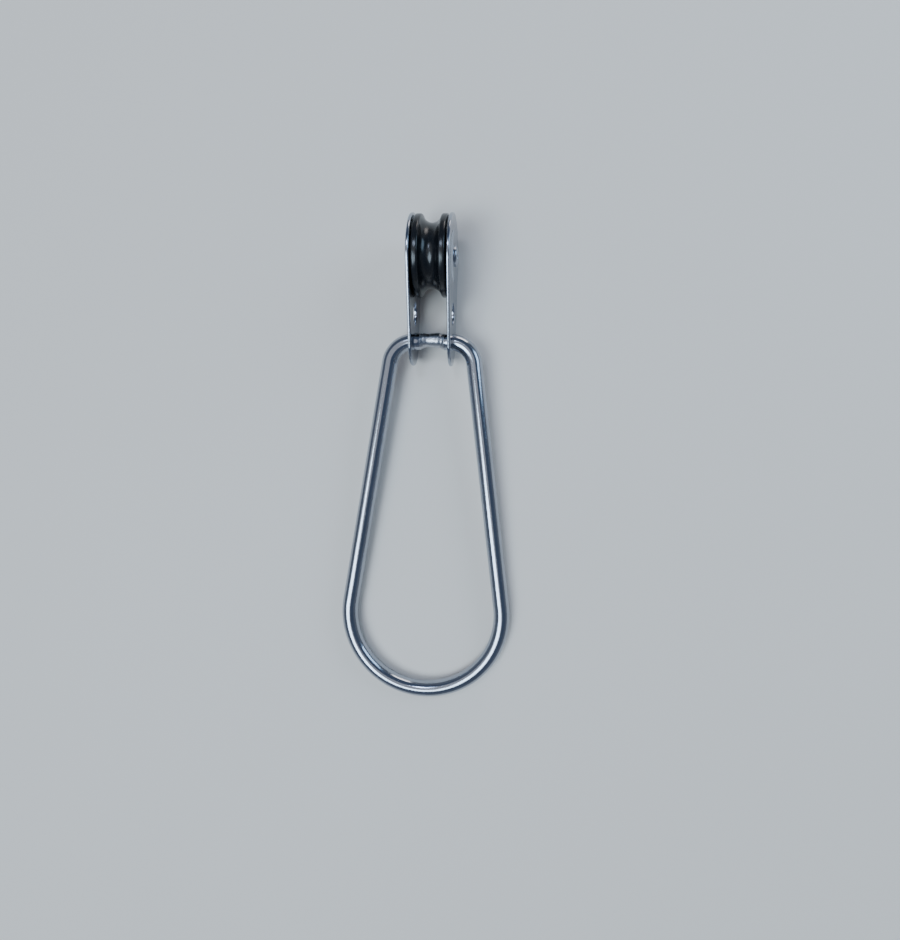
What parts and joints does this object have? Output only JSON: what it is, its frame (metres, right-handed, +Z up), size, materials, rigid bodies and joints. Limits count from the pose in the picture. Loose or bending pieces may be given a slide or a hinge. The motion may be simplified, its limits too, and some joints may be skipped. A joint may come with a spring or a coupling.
{
  "type": "single sheave block",
  "caption": "Rope block: a grooved black sheave on a riveted axle between polished teardrop cheeks, hung on the straight bar of a pear-shaped ring of bent stainless rod.",
  "frame": {"origin": "on the surface the block lies on, under the centre of its bounding box", "axes": "+X along the axle and the ring's top bar, +Y from the ring towards the sheave along the whole length, +Z up from the surface it lies on"},
  "size_m": [0.064, 0.1778, 0.0292],
  "materials": {
    "rod_steel": "mirror-polished stainless rod with fine handling scratches",
    "weld_steel": "ground and polished by hand, uneven and pitted",
    "plate_steel": "mirror-polished stainless plate with rounded edges",
    "black_acetal": "glossy turned plastic, faint turning marks",
    "sleeve_steel": "fine turned",
    "rivet_steel": "polished, with marks of the rolling tool",
    "washer_acetal": "smooth, satin"
  },
  "bodies": {
    "ring": {"handle_ring": "rod_steel", "ring_weld": "weld_steel"},
    "block": {"cheek_left": "plate_steel", "cheek_right": "plate_steel", "axle_sleeve": "sleeve_steel", "axle_rivet": "rivet_steel", "thrust_washer_left": "washer_acetal", "thrust_washer_right": "washer_acetal"},
    "sheave": {"sheave": "black_acetal"}
  },
  "joints": [
    {"name": "block_swing", "type": "hinge", "parent": "ring", "child": "block", "pos_m": [0, 0.04492, 0.0088], "axis": [1, 0, 0], "continuous": true},
    {"name": "sheave_spin", "type": "hinge", "parent": "block", "child": "sheave", "pos_m": [0, 0.07435, 0.0146], "axis": [1, 0, 0], "continuous": true}
  ]
}
